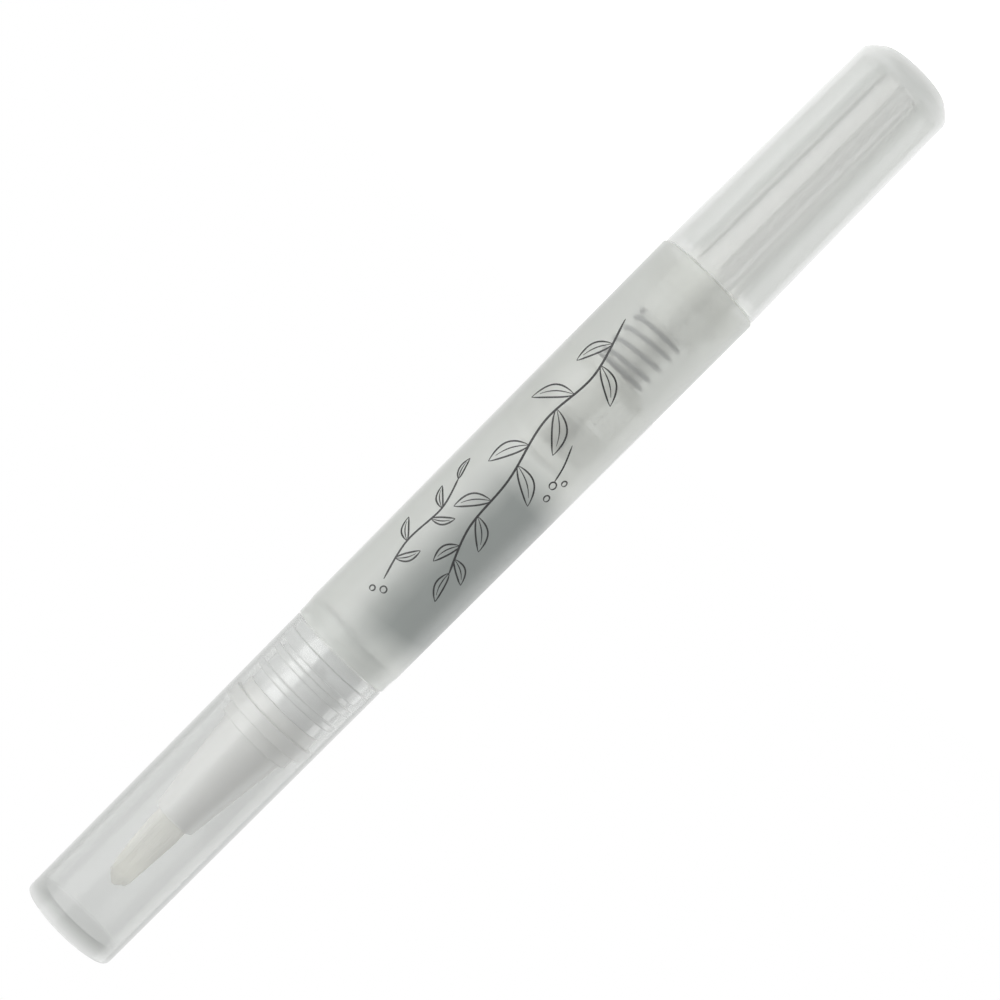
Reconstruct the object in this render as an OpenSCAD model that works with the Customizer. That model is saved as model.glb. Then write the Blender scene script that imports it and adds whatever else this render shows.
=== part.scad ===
// Twist-up nail oil pen: a frosted barrel with an oil chamber, a brush under a push-on cap,
// and a clicking screw drive that the knob at the rear turns.
// The pen stands on the flat end of its knob. Z runs along the pen towards the cap, in millimetres.

/* [Barrel] */
// Length of the barrel tube
barrel_len = 55.4; // [52:0.05:70]
// Outer diameter of the barrel at the knob end
barrel_rear_dia = 13; // [12.8:0.1:14]
// Outer diameter of the barrel at the cap end
barrel_front_dia = 12.5; // [12.4:0.1:13.6]
// Bore of the oil chamber
chamber_dia = 10.7; // [10.5:0.05:10.8]
// Radial step from the chamber to the wider bore that seats the drive
seat_step = 0.15; // [0.1:0.05:0.2]
// Chamfer on the rear rim of the barrel, and twice the chamfer on its front rim
barrel_chamfer = 0.2; // [0.1:0.05:0.25]
// Length of the slimmer land at the front of the barrel, and of the slope up to it
barrel_land_len = 1.1; // [0.8:0.1:2]
// Radial step down to that land
barrel_land_step = 0.12; // [0.05:0.01:0.15]

/* [Knob] */
// Length of the knob
knob_len = 31; // [26:0.1:40]
// Outer diameter of the knob at its mouth
knob_mouth_dia = 12.7; // [12.5:0.1:13]
// Outer diameter of the knob where its end chamfer starts
knob_end_dia = 12.08; // [12:0.02:12.6]
// Diameter of the flat that the pen stands on
knob_flat_dia = 8.5; // [7.5:0.1:10]
// Height of the chamfer round the flat
knob_chamfer_len = 1.5; // [1.2:0.05:2.4]
// Wall of the knob
knob_wall = 1; // [0.8:0.05:1.3]
// Thickness of the closed end of the knob
knob_floor = 2.3; // [1.8:0.1:3]
// Number of ribs inside the knob
knob_ribs = 8; // [4:1:10]
// Thickness of each rib
rib_t = 0.5; // [0.4:0.05:0.8]

/* [Cap] */
// Length of the cap
cap_len = 41; // [39.5:0.05:50]
// Outer diameter of the cap at its mouth
cap_mouth_dia = 12.16; // [12.1:0.02:12.5]
// Outer diameter of the cap at its closed end
cap_end_dia = 11.7; // [11.6:0.02:12.4]
// Wall of the cap beyond its wider mouth
cap_wall = 1; // [0.9:0.05:1.2]
// Thickness of the closed end of the cap
cap_end_wall = 1.8; // [1:0.1:2]
// Size of the rounded edge at the closed end
cap_edge = 0.5; // [0.3:0.1:1.3]
// Depth of the wider mouth that slides over the rings
cap_mouth_depth = 12.45; // [11.5:0.05:14]

/* [Neck and ferrule] */
// Length of the neck's plug inside the barrel
neck_plug_len = 2.4; // [2.2:0.05:4]
// Diameter of the neck's widest collar, which the cap slides over
neck_collar_dia = 10.3; // [10.1:0.05:10.35]
// Diameter of the neck's two rings and of the ferrule's flange
ring_dia = 10; // [9.6:0.05:10.05]
// Diameter of the neck between its rings
neck_core_dia = 8.8; // [8.4:0.1:9.2]
// Diameter of the socket in the neck that holds the ferrule
socket_dia = 6.9; // [6.4:0.1:7.2]
// Largest diameter of the ferrule's cone
cone_base_dia = 7.2; // [6.8:0.1:7.6]
// Diameter of the ferrule's cone just behind its rounded tip
cone_tip_dia = 4.78; // [4.6:0.02:5.2]
// Length of the cone with its rounded tip
cone_len = 12.05; // [10:0.05:14]
// Wall of the hollow ferrule
ferrule_wall = 0.9; // [0.7:0.05:1]

/* [Brush] */
// Diameter of the tuft where the ferrule holds it
tuft_dia = 3.5; // [3.2:0.05:3.6]
// Diameter of the tuft at its fullest, just outside the ferrule
tuft_belly_dia = 3.74; // [3.6:0.02:4.2]
// Diameter of the tuft just behind its domed tip
tuft_tip_dia = 2.3; // [1.6:0.1:3]
// Free length of the bristles
bristle_len = 9.4; // [6:0.1:11]
// Height of the dome that the bristle tips make
tuft_dome = 0.9; // [0.4:0.1:1.5]
// Rings of bristles round the feed tube
bristle_rings = 7; // [7:1:8]
// Outer diameter of the feed tube
feed_dia = 1.2; // [1:0.05:1.3]
// Bore of the feed tube
feed_bore = 0.7; // [0.5:0.05:0.8]

/* [Screw drive] */
// Outer diameter of the spindle over its thread
spindle_dia = 3.4; // [3:0.1:3.5]
// Width of the spindle across its two flats
spindle_flats = 2.4; // [2.2:0.1:2.6]
// Outer diameter of the driver tube where it leaves the knob and runs in the end collar
driver_dia = 6.9; // [6.4:0.1:7]
// Outer diameter of the driver tube at its rear end, deep in the knob
driver_tail_dia = 6.1; // [5.8:0.1:6.4]
// Outer diameter of the driver tube inside the spring
nose_dia = 4.6; // [4.5:0.05:4.7]
// Width of the driver tube's nose across the flats that key the ratchet ring
nose_flats = 4; // [3.8:0.1:4.2]
// Length of the end collar
collar_len = 3.4; // [2.8:0.05:4]
// Length of the piston
piston_len = 6.3; // [5.5:0.1:8]
// Length of the thread nut with its skirt
nut_len = 5.05; // [4.5:0.05:7]
// Number of grooves round the thread nut
nut_grooves = 12; // [8:1:16]
// Number of ratchet teeth
ratchet_teeth = 12; // [8:1:16]
// Height of the ratchet teeth
tooth_h = 0.4; // [0.3:0.05:0.45]

/* [Click spring] */
// Length of the spring as it is fitted
spring_len = 6.9; // [6:0.1:9]
// Mean diameter of the coils
spring_dia = 5.4; // [5.35:0.05:5.6]
// Diameter of the spring wire
wire_dia = 0.42; // [0.3:0.02:0.44]
// Pitch of the end coils
end_pitch = 0.86; // [0.86:0.02:1]
// Coils between the two end coils
active_coils = 3; // [2.5:0.5:4]

/* [Hidden] */

// How finely round surfaces are drawn, and how many steps a rounded corner has
round_fn = 72;
blend_steps = 5;

// Overrun of every cut past the surface that it opens
over = 0.5;

// Clearances: turning and sliding fits, pieces pressed or snapped together, and faces that pass
run_gap = 0.05;
fit_gap = 0.02;
face_gap = 0.1;

// Softened outer edge of a moulded piece
soft = 0.2;

// Places along the pen, from the flat end of the knob
barrel_z0 = knob_len + face_gap;
barrel_z1 = barrel_z0 + barrel_len;
neck_z0 = barrel_z1 - neck_plug_len;
cap_z0 = barrel_z1 + face_gap;
cap_z1 = cap_z0 + cap_len;

// Depth of the key grooves that the knob's ribs stand in, at the rear end of the driver tube
key_depth = 0.35;

// Radii that several pieces share
chamber_r = chamber_dia / 2;
seat_r = chamber_r + seat_step;
driver_r = driver_dia / 2;
key_r = driver_tail_dia / 2 - key_depth;
nose_r = nose_dia / 2;
spindle_r = spindle_dia / 2;
flats_half = spindle_flats / 2;

// Snap ridges that lock the neck and the end collar into grooves in the barrel
ridge_h = 0.1;
ridge_w = 0.6;
neck_ridge_z = neck_z0 + neck_plug_len / 3;
collar_ridge_z = barrel_z0 + collar_len * 2 / 5;

// End collar, which closes the barrel and carries the driver tube
collar_web_t = 1.1;
collar_wall = 0.8;
collar_hub_wall = 0.7;
collar_ribs = 6;
collar_z1 = barrel_z0 + collar_len;

// Driver tube: tail in the knob's ribs, thrust flange before the collar, hub under the spring, nose
driver_tail_gap = 0.3;
thrust_t = 1;
thrust_r = 4.5;
hub_len = 2.4;
hub_step = 0.3;
driver_z0 = knob_floor + driver_tail_gap;
thrust_z0 = collar_z1 + face_gap;
hub_z0 = thrust_z0 + thrust_t;
hub_z1 = hub_z0 + hub_len;
spring_z0 = hub_z1 + fit_gap;

// Ratchet: the ring rides just clear of the crests of the fixed teeth
ratchet_body_t = 0.9;
ratchet_r = 3.6;
ratchet_z0 = spring_z0 + spring_len + fit_gap;
tooth_root_z = ratchet_z0 + ratchet_body_t;
ratchet_z1 = tooth_root_z + tooth_h;
nut_web_z0 = ratchet_z1 + run_gap + tooth_h;
driver_z1 = tooth_root_z + tooth_h / 2;
tooth_fill_share = 0.9;

// Thread nut, which seats on the step in the barrel's bore
skirt_len = 1.05;
skirt_gap = 0.6;
nut_z0 = nut_web_z0 - skirt_len;
nut_z1 = nut_z0 + nut_len;
nut_groove_depth = 0.4;
nut_groove_w = 1.3;
nut_land_r = seat_r - fit_gap;

// Piston, at the rear end of its stroke
piston_rest_gap = 0.5;
piston_z0 = nut_z1 + piston_rest_gap;
piston_z1 = piston_z0 + piston_len;
piston_r = chamber_r - run_gap;
lip_w = 0.9;
lip_depth = 0.6;
crown_h = 0.5;
crown_step = 0.3;
piston_web_t = 1.3;
piston_skirt_wall = 0.9;

// Bead on the spindle's front end, which snaps into the boss inside the piston and turns there
bead_r = 1.45;
bead_neck_r = 1.05;
bead_len = 0.9;
boss_wall = 1;
boss_r = bead_r + run_gap + boss_wall;
boss_z0 = piston_z0 + piston_rest_gap;
boss_z1 = piston_z1 - crown_h - piston_web_t;
bead_z1 = boss_z1 - run_gap;
bead_z0 = bead_z1 - bead_len;

// Spindle, whose tail reaches back into the knob's hollow
spindle_tail_gap = 2.6;
spindle_tip = 0.3;
spindle_z0 = knob_floor + spindle_tail_gap;

// Neck: its flange sits in the barrel's front rim, and its rings follow from there
flange_t = 0.6;
flange_step = 0.4;
throat_len = 1.55;
throat_step = 0.4;
neck_collar_t = 1.5;
ring_gap = 0.7;
ring_t = 0.85;
ring_pitch = 2.35;
neck_free_len = 8.45;
neck_wall = 0.9;
neck_web_t = 0.8;
socket_depth = 5.4;
funnel_throat_r = 1.2;
neck_collar_r = neck_collar_dia / 2;
neck_core_r = neck_core_dia / 2;
ring_r = ring_dia / 2;
neck_collar_z = barrel_z1 + throat_len;
ring_a_z = neck_collar_z + neck_collar_t + ring_gap;
ring_b_z = ring_a_z + ring_pitch;
neck_z1 = barrel_z1 + neck_free_len;
socket_r = socket_dia / 2;
socket_z = neck_z1 - socket_depth;

// Ferrule: plug in the neck's socket, low skirt, flange, high skirt, then the cone
low_skirt_len = 1.5;
flange_len = 1.6;
high_skirt_len = 1.55;
high_skirt_step = 0.3;
flange_z = neck_z1 + low_skirt_len;
high_skirt_z = flange_z + flange_len;
cone_z0 = high_skirt_z + high_skirt_len;
cone_z1 = cone_z0 + cone_len;
tip_round_len = 1;
tip_land = 0.1;
tip_web_t = 0.9;
pocket_depth = 6.5;
pocket_r = tuft_dia / 2 + fit_gap;
pocket_z = cone_z1 - pocket_depth;

// Feed tube, from the neck's web into the tuft
feed_reach = 1.3;
feed_r = feed_dia / 2;
feed_z0 = socket_z - neck_web_t;
feed_z1 = cone_z1 + feed_reach;

// Tuft: a glued slice of bristles in the pocket, then free bristles on rings round the feed tube
slice_recess = 0.8;
slice_z0 = pocket_z + fit_gap;
slice_z1 = cone_z1 - slice_recess;
tuft_r = tuft_dia / 2;
tuft_hole_r = feed_r + fit_gap;
belly_z = feed_z1 + fit_gap;
tip_plane_z = cone_z1 + bristle_len;
first_ring = 4;
last_ring = first_ring + bristle_rings;
bristle_fill_share = 0.7;
tip_core_share = 0.12;

// Spring: points along each coil, and sides round the wire
points_per_coil = 8;
wire_sides = 6;

// Cap: wide mouth over the neck's rings, then the narrower bore round the brush
cap_bore_r = neck_collar_r + run_gap;
cap_step_z = cap_z0 + cap_mouth_depth;
cap_lead_in = 0.25;

// Colours
frost = [0.80, 0.84, 0.82, 0.45];
clear = [0.84, 0.88, 0.87, 0.40];
milky = [0.88, 0.90, 0.87];
white = [0.95, 0.95, 0.92];
cream = [0.93, 0.92, 0.82];
steel = [0.55, 0.57, 0.58];

// Radius at the height z of a straight taper from r0 at z0 to r1 at z1
function taper(z, z0, r0, z1, r1) = r0 + (r1 - r0) * (z - z0) / (z1 - z0);

// Points of a curve from a to c that the corner b pulls out
function blend(a, b, c) =
    [for (i = [0 : blend_steps]) let (t = i / blend_steps)
        (1 - t) * (1 - t) * a + 2 * t * (1 - t) * b + t * t * c];

// The corner b of an outline that runs from a over b to c, rounded off over a length on both sides
function rounded(a, b, c, length) =
    blend(b + (a - b) * length / norm(a - b), b, b + (c - b) * length / norm(c - b));

// A piece turned from an outline of [radius, height] points
module turned(outline) {
    rotate_extrude($fn = round_fn) polygon(outline);
}

// A plain round bore that runs past both of its ends
module bore(r, z0, z1) {
    translate([0, 0, z0 - over]) cylinder(r = r, h = z1 - z0 + 2 * over, $fn = round_fn);
}

// A round ridge on a cylinder, or the groove for it
module ridge(z, r, h, w) {
    turned([[r - h, z - w / 2], [r, z - w / 2], [r + h, z - w / 4],
            [r + h, z + w / 4], [r, z + w / 2], [r - h, z + w / 2]]);
}

// A round bar with two flats
module flatted(z0, z1, r, half) {
    intersection() {
        translate([0, 0, z0]) cylinder(r = r, h = z1 - z0, $fn = round_fn);
        translate([-half, -r - over, z0 - over])
            cube([2 * half, 2 * (r + over), z1 - z0 + 2 * over]);
    }
}

module cap() {
    r0 = cap_mouth_dia / 2;
    r1 = cap_end_dia / 2;
    inner_r = r1 - cap_wall;
    inner_z = cap_z1 - cap_end_wall;
    step_r = taper(cap_step_z, cap_z0, r0, cap_z1, r1) - cap_wall;
    color(frost) turned(concat(
        [[cap_bore_r + cap_lead_in, cap_z0]],
        rounded([cap_bore_r, cap_z0], [r0, cap_z0], [r1, cap_z1], soft),
        rounded([r0, cap_z0], [r1, cap_z1], [0, cap_z1], cap_edge),
        [[0, cap_z1], [0, inner_z]],
        rounded([0, inner_z], [inner_r, inner_z], [step_r, cap_step_z], soft),
        [[step_r, cap_step_z + soft], [cap_bore_r, cap_step_z], [cap_bore_r, cap_z0 + cap_lead_in]]));
}

// The glued slice and the free bristles are one closed surface. The slice's front face is divided into
// rings of triangles, and a bristle stands on every triangle that has its base on the outer ring.

// Number of the point j on ring k, counted from the first ring, and its place
function at(k, j) = 3 * (k * (k - 1) - first_ring * (first_ring - 1)) + j % (6 * k);
function ring_radius(k) = tuft_hole_r + (tuft_r - tuft_hole_r) * (k - first_ring) / bristle_rings;
function ring_point(k, j, z) = [ring_radius(k) * cos(60 * j / k), ring_radius(k) * sin(60 * j / k), z];

// Place of a bristle at the belly, and the place of its tip on the dome, from its foot
function belly_point(p) = [p[0] * tuft_belly_dia / tuft_dia, p[1] * tuft_belly_dia / tuft_dia, belly_z];
function tip_point(p) =
    let (r = norm([p[0], p[1]]),
         out = tip_core_share + (1 - tip_core_share) * (r - tuft_hole_r) / (tuft_r - tuft_hole_r),
         spread = out * tuft_tip_dia / 2 / r,
         low = belly_point(p),
         high = [p[0] * spread, p[1] * spread, tip_plane_z],
         end_z = tip_plane_z - tuft_dome * out * out)
        low + (high - low) * (end_z - belly_z) / (tip_plane_z - belly_z);

module brush_tuft() {
    front = [for (k = [first_ring : last_ring]) for (j = [0 : 6 * k - 1]) ring_point(k, j, slice_z1)];
    back_inner = [for (j = [0 : 6 * first_ring - 1]) ring_point(first_ring, j, slice_z0)];
    back_outer = [for (j = [0 : 6 * last_ring - 1]) ring_point(last_ring, j, slice_z0)];
    n_in = len(back_inner);
    n_out = len(back_outer);
    at_in = len(front);
    at_out = at_in + n_in;
    at_bristle = at_out + n_out;

    // Triangles between each ring and the next: first those that carry bristles, then the bare ones
    carrying = [for (k = [first_ring + 1 : last_ring]) for (s = [0 : 5]) for (i = [0 : k - 1])
        [at(k - 1, s * (k - 1) + i), at(k, s * k + i), at(k, s * k + i + 1)]];
    bare = [for (k = [first_ring + 1 : last_ring]) for (s = [0 : 5]) for (i = [0 : k - 2])
        [at(k - 1, s * (k - 1) + i), at(k - 1, s * (k - 1) + i + 1), at(k, s * k + i + 1)]];

    // Seven points a bristle: three at its foot, three at the belly and one at its tip
    bristles = [for (c = carrying)
        let (middle = (front[c[0]] + front[c[1]] + front[c[2]]) / 3,
             foot = [for (n = c) middle + (front[n] - middle) * bristle_fill_share],
             belly = [for (p = foot) belly_point(middle) + p - middle])
            each concat(foot, belly, [tip_point(middle)])];
    bristle_faces = [for (m = [0 : len(carrying) - 1])
        let (c = carrying[m], foot = at_bristle + 7 * m, belly = foot + 3, tip = foot + 6)
            for (i = [0 : 2]) let (n = (i + 1) % 3) each
                [[c[i], foot + n, c[n]], [c[i], foot + i, foot + n],
                 [foot + i, belly + n, foot + n], [foot + i, belly + i, belly + n],
                 [belly + i, tip, belly + n]]];

    // Walls of the slice, and its back between the inner and the outer ring
    outer_wall = [for (j = [0 : n_out - 1]) let (n = (j + 1) % n_out) each
        [[at_out + j, at(last_ring, j), at(last_ring, n)], [at_out + j, at(last_ring, n), at_out + n]]];
    inner_wall = [for (j = [0 : n_in - 1]) let (n = (j + 1) % n_in) each
        [[at_in + j, at(first_ring, n), at(first_ring, j)], [at_in + j, at_in + n, at(first_ring, n)]]];
    back = [for (j = [0 : n_out - 1])
        let (n = (j + 1) % n_out, a = round(j * n_in / n_out), b = round((j + 1) * n_in / n_out)) each
            concat([[at_out + j, at_out + n, at_in + a % n_in]],
                   a == b ? [] : [[at_out + n, at_in + b % n_in, at_in + a % n_in]])];

    color(cream) polyhedron(
        points = concat(front, back_inner, back_outer, bristles),
        faces = concat([for (t = bare) [t[0], t[1], t[2]]], outer_wall, inner_wall, back, bristle_faces));
}

module feed_tube() {
    color(clear) difference() {
        translate([0, 0, feed_z0]) cylinder(r = feed_r, h = feed_z1 - feed_z0, $fn = round_fn);
        bore(feed_bore / 2, feed_z0, feed_z1);
    }
}

module ferrule() {
    plug_z0 = socket_z + face_gap;
    plug_r = socket_r - fit_gap;
    base_z = neck_z1 + fit_gap;
    high_skirt_r = neck_core_r - high_skirt_step;
    cone_r0 = cone_base_dia / 2;
    cone_r1 = cone_tip_dia / 2;
    tip_face_r = pocket_r + tip_land;
    hollow_z1 = pocket_z - tip_web_t;
    hollow_r0 = plug_r - ferrule_wall;
    hollow_r1 = taper(hollow_z1, cone_z0, cone_r0, cone_z1, cone_r1) - ferrule_wall;
    color(white) difference() {
        turned(concat(
            [[0, plug_z0], [plug_r, plug_z0], [plug_r, base_z], [neck_core_r, base_z],
             [neck_core_r, flange_z]],
            rounded([neck_core_r, flange_z], [ring_r, flange_z], [ring_r, high_skirt_z], soft),
            rounded([ring_r, flange_z], [ring_r, high_skirt_z], [high_skirt_r, high_skirt_z], soft),
            [[high_skirt_r, high_skirt_z]],
            rounded([high_skirt_r, high_skirt_z], [high_skirt_r, cone_z0], [cone_r0, cone_z0], soft),
            [[cone_r0, cone_z0]],
            blend([cone_r1, cone_z1 - tip_round_len], [cone_r1, cone_z1], [tip_face_r, cone_z1]),
            [[0, cone_z1]]));
        turned([[0, plug_z0 - over], [hollow_r0, plug_z0 - over], [hollow_r0, cone_z0],
                [hollow_r1, hollow_z1], [0, hollow_z1]]);
        bore(feed_r + fit_gap, hollow_z1, pocket_z);
        translate([0, 0, pocket_z]) cylinder(r = pocket_r, h = pocket_depth + over, $fn = round_fn);
    }
}

// One of the neck's two narrow rings, which stands on z
module neck_ring(z) {
    root_r = neck_core_r - neck_wall / 2;
    turned(concat(
        [[root_r, z]],
        rounded([root_r, z], [ring_r, z], [ring_r, z + ring_t], soft),
        rounded([ring_r, z], [ring_r, z + ring_t], [root_r, z + ring_t], soft),
        [[root_r, z + ring_t]]));
}

module neck() {
    plug_r = chamber_r - fit_gap;
    flange_r = plug_r + flange_step;
    flange_z0 = barrel_z1 - flange_t + fit_gap;
    throat_r = neck_core_r + throat_step;
    top_z = neck_collar_z + neck_collar_t;
    funnel_r = plug_r - neck_wall;
    color(milky) difference() {
        union() {
            turned(concat(
                [[0, neck_z0], [plug_r - soft, neck_z0], [plug_r, neck_z0 + soft],
                 [plug_r, flange_z0], [flange_r, flange_z0], [flange_r, barrel_z1], [throat_r, barrel_z1],
                 [throat_r, neck_collar_z - soft]],
                rounded([throat_r, neck_collar_z], [neck_collar_r, neck_collar_z],
                        [neck_collar_r, top_z], soft),
                rounded([neck_collar_r, neck_collar_z], [neck_collar_r, top_z], [neck_core_r, top_z], soft),
                [[neck_core_r, top_z]],
                rounded([neck_core_r, top_z], [neck_core_r, neck_z1], [0, neck_z1], soft),
                [[0, neck_z1]]));
            for (z = [ring_a_z, ring_b_z]) neck_ring(z);
            ridge(neck_ridge_z, plug_r, ridge_h, ridge_w);
        }
        translate([0, 0, socket_z]) cylinder(r = socket_r, h = socket_depth + over, $fn = round_fn);
        bore(feed_r + fit_gap, feed_z0, socket_z);
        turned([[0, neck_z0 - over], [funnel_r, neck_z0 - over], [funnel_r, neck_z0 + soft],
                [funnel_throat_r, feed_z0], [0, feed_z0]]);
    }
}

module barrel() {
    r0 = barrel_rear_dia / 2;
    r1 = barrel_front_dia / 2;
    recess_r = chamber_r + flange_step;
    recess_z = barrel_z1 - flange_t;
    groove_w = ridge_w + 2 * run_gap;
    land_r = r1 - barrel_land_step;
    slope_z = barrel_z1 - 2 * barrel_land_len;
    front_chamfer = barrel_chamfer / 2;
    color(frost) difference() {
        turned([[seat_r, barrel_z0], [r0 - barrel_chamfer, barrel_z0], [r0, barrel_z0 + barrel_chamfer],
                [r1, slope_z], [land_r, slope_z + barrel_land_len], [land_r, barrel_z1 - front_chamfer],
                [land_r - front_chamfer, barrel_z1], [recess_r, barrel_z1], [recess_r, recess_z],
                [chamber_r, recess_z], [chamber_r, nut_z1], [seat_r, nut_z1]]);
        ridge(neck_ridge_z, chamber_r, ridge_h, groove_w);
        ridge(collar_ridge_z, seat_r, ridge_h, groove_w);
    }
}

module piston() {
    waist_r = piston_r - lip_depth;
    skirt_r = waist_r - piston_skirt_wall;
    lip_z = piston_z1 - crown_h - 2 * lip_w;
    color(milky) difference() {
        turned([[0, piston_z0], [piston_r - soft, piston_z0], [piston_r, piston_z0 + soft],
                [piston_r, piston_z0 + lip_w], [waist_r, piston_z0 + 2 * lip_w], [waist_r, lip_z],
                [piston_r, lip_z + lip_w], [piston_r, piston_z1 - crown_h - soft],
                [piston_r - crown_step, piston_z1 - crown_h], [bead_r, piston_z1], [0, piston_z1]]);
        difference() {
            translate([0, 0, piston_z0 - over])
                cylinder(r = skirt_r, h = boss_z1 - piston_z0 + over, $fn = round_fn);
            translate([0, 0, boss_z0]) cylinder(r = boss_r, h = boss_z1 - boss_z0 + over, $fn = round_fn);
        }
        bore(bead_neck_r + run_gap, piston_z0, bead_z0 - over);
        translate([0, 0, bead_z0 - run_gap])
            cylinder(r = bead_r + run_gap, h = boss_z1 - bead_z0 + run_gap, $fn = round_fn);
    }
}

module spindle() {
    rod_z1 = boss_z0 - run_gap;
    tip_r = flats_half - spindle_tip;
    color(milky) union() {
        flatted(spindle_z0 + spindle_tip, rod_z1, spindle_r, flats_half);
        translate([0, 0, spindle_z0]) cylinder(r1 = tip_r, r2 = flats_half, h = spindle_tip, $fn = round_fn);
        translate([0, 0, rod_z1]) cylinder(r = bead_neck_r, h = bead_z0 - rod_z1, $fn = round_fn);
        turned([[0, bead_z0], [bead_r, bead_z0], [bead_r, bead_z0 + bead_len / 3],
                [bead_neck_r, bead_z1], [0, bead_z1]]);
    }
}

// A ring of saw teeth that stands on the plane at zero. Their ramps face the way that the knob turns.
module saw_teeth() {
    step = 360 / ratchet_teeth;
    half = ratchet_r * tan(step / 2) * tooth_fill_share;
    intersection() {
        difference() {
            translate([0, 0, -tooth_h]) cylinder(r = ratchet_r, h = 3 * tooth_h, $fn = round_fn);
            bore(nose_r + face_gap, -tooth_h, 3 * tooth_h);
        }
        union() {
            for (i = [0 : ratchet_teeth - 1])
                rotate([90, 0, 90 + step * i])
                    linear_extrude(height = ratchet_r + over)
                        polygon([[-half, -tooth_h / 2], [half, -tooth_h / 2], [half, 0],
                                 [-half + tooth_h / 4, tooth_h], [-half, tooth_h]]);
        }
    }
}

module thread_nut() {
    top_z = nut_z1 - fit_gap;
    color(clear) difference() {
        union() {
            difference() {
                turned([[0, nut_z0], [nut_land_r - soft, nut_z0], [nut_land_r, nut_z0 + soft],
                        [nut_land_r, top_z - soft], [nut_land_r - soft, top_z], [0, top_z]]);
                translate([0, 0, nut_z0 - over])
                    cylinder(r = ratchet_r + skirt_gap, h = skirt_len + over, $fn = round_fn);
            }
            translate([0, 0, nut_web_z0]) rotate([180, 0, 0]) saw_teeth();
        }
        bore(spindle_r + run_gap, nut_z0, nut_z1);
        for (i = [0 : nut_grooves - 1])
            rotate([0, 0, 360 * i / nut_grooves])
                translate([nut_land_r - nut_groove_depth, -nut_groove_w / 2, nut_z0 - over])
                    cube([nut_groove_depth + over, nut_groove_w, nut_len + 2 * over]);
    }
}

module ratchet_ring() {
    color(white) difference() {
        union() {
            translate([0, 0, ratchet_z0]) cylinder(r = ratchet_r, h = ratchet_body_t, $fn = round_fn);
            translate([0, 0, tooth_root_z]) saw_teeth();
        }
        flatted(ratchet_z0 - over, ratchet_z1 + over, nose_r + run_gap, nose_flats / 2 + run_gap);
    }
}

// Height of the wire's centre above the spring's foot after a number of coils
function coil_z(coils) =
    let (open_pitch = (spring_len - wire_dia - 2 * end_pitch) / active_coils,
         in_ends = min(coils, 1) + max(0, coils - active_coils - 1))
        wire_dia / 2 + end_pitch * in_ends + open_pitch * (coils - in_ends);

spring_steps = points_per_coil * (active_coils + 2);
spring_path = [for (i = [0 : spring_steps]) let (a = 360 * i / points_per_coil)
    [spring_dia / 2 * cos(a), spring_dia / 2 * sin(a), spring_z0 + coil_z(i / points_per_coil)]];

// Least gap of the spring to itself, measured between points that are half a coil apart or more
spring_self_gap = min([for (i = [0 : spring_steps]) for (j = [i + points_per_coil / 2 : 1 : spring_steps])
    norm(spring_path[i] - spring_path[j])]) - wire_dia;
echo(str("Least gap of the click spring to itself, mm: ", spring_self_gap));

module click_spring() {
    n = wire_sides;
    last = spring_steps * n;
    points = [for (i = [0 : spring_steps]) for (k = [0 : n - 1])
        let (a = 360 * i / points_per_coil, b = 360 * k / n, r = (spring_dia + wire_dia * cos(b)) / 2)
            [r * cos(a), r * sin(a), spring_path[i][2] + wire_dia / 2 * sin(b)]];
    sides = [for (i = [0 : spring_steps - 1]) for (k = [0 : n - 1])
        let (m = (k + 1) % n, p = i * n, q = p + n) each
            [[p + k, q + m, q + k], [p + k, p + m, q + m]]];
    ends = [for (k = [1 : n - 2]) each [[0, k + 1, k], [last, last + k, last + k + 1]]];
    color(steel) polyhedron(points = points, faces = concat(sides, ends));
}

module driver_tube() {
    nose_z = ratchet_z0 - run_gap;
    color(milky) difference() {
        union() {
            turned([[0, driver_z0], [driver_tail_dia / 2, driver_z0], [driver_r, knob_len],
                    [driver_r, thrust_z0], [thrust_r, thrust_z0], [thrust_r, hub_z0],
                    [driver_r + hub_step, hub_z0], [driver_r + hub_step, hub_z1],
                    [nose_r, hub_z1], [nose_r, nose_z], [0, nose_z]]);
            flatted(nose_z - over, driver_z1, nose_r, nose_flats / 2);
        }
        flatted(driver_z0 - over, driver_z1 + over, spindle_r + run_gap, flats_half + run_gap);
        for (i = [0 : knob_ribs - 1])
            rotate([0, 0, 360 * i / knob_ribs])
                translate([key_r, -rib_t / 2 - fit_gap, driver_z0 - over])
                    cube([driver_r - key_r + over, rib_t + 2 * fit_gap, knob_len - driver_z0 + over]);
    }
}

module end_collar() {
    outer_r = seat_r - fit_gap;
    sleeve_r = outer_r - collar_wall;
    bore_r = driver_r + run_gap;
    hub_r = bore_r + collar_hub_wall;
    web_z = barrel_z0 + collar_web_t;
    color(clear) difference() {
        union() {
            turned([[0, barrel_z0], [outer_r - soft, barrel_z0], [outer_r, barrel_z0 + soft],
                    [outer_r, collar_z1], [sleeve_r, collar_z1], [sleeve_r, web_z],
                    [hub_r, web_z], [hub_r, collar_z1], [0, collar_z1]]);
            ridge(collar_ridge_z, outer_r, ridge_h, ridge_w);
            for (i = [0 : collar_ribs - 1])
                rotate([0, 0, 360 * i / collar_ribs])
                    translate([hub_r - collar_hub_wall / 2, -rib_t / 2, web_z - collar_web_t / 2])
                        cube([sleeve_r - hub_r + collar_hub_wall, rib_t, collar_len - collar_web_t]);
        }
        bore(bore_r, barrel_z0, collar_z1);
    }
}

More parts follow.
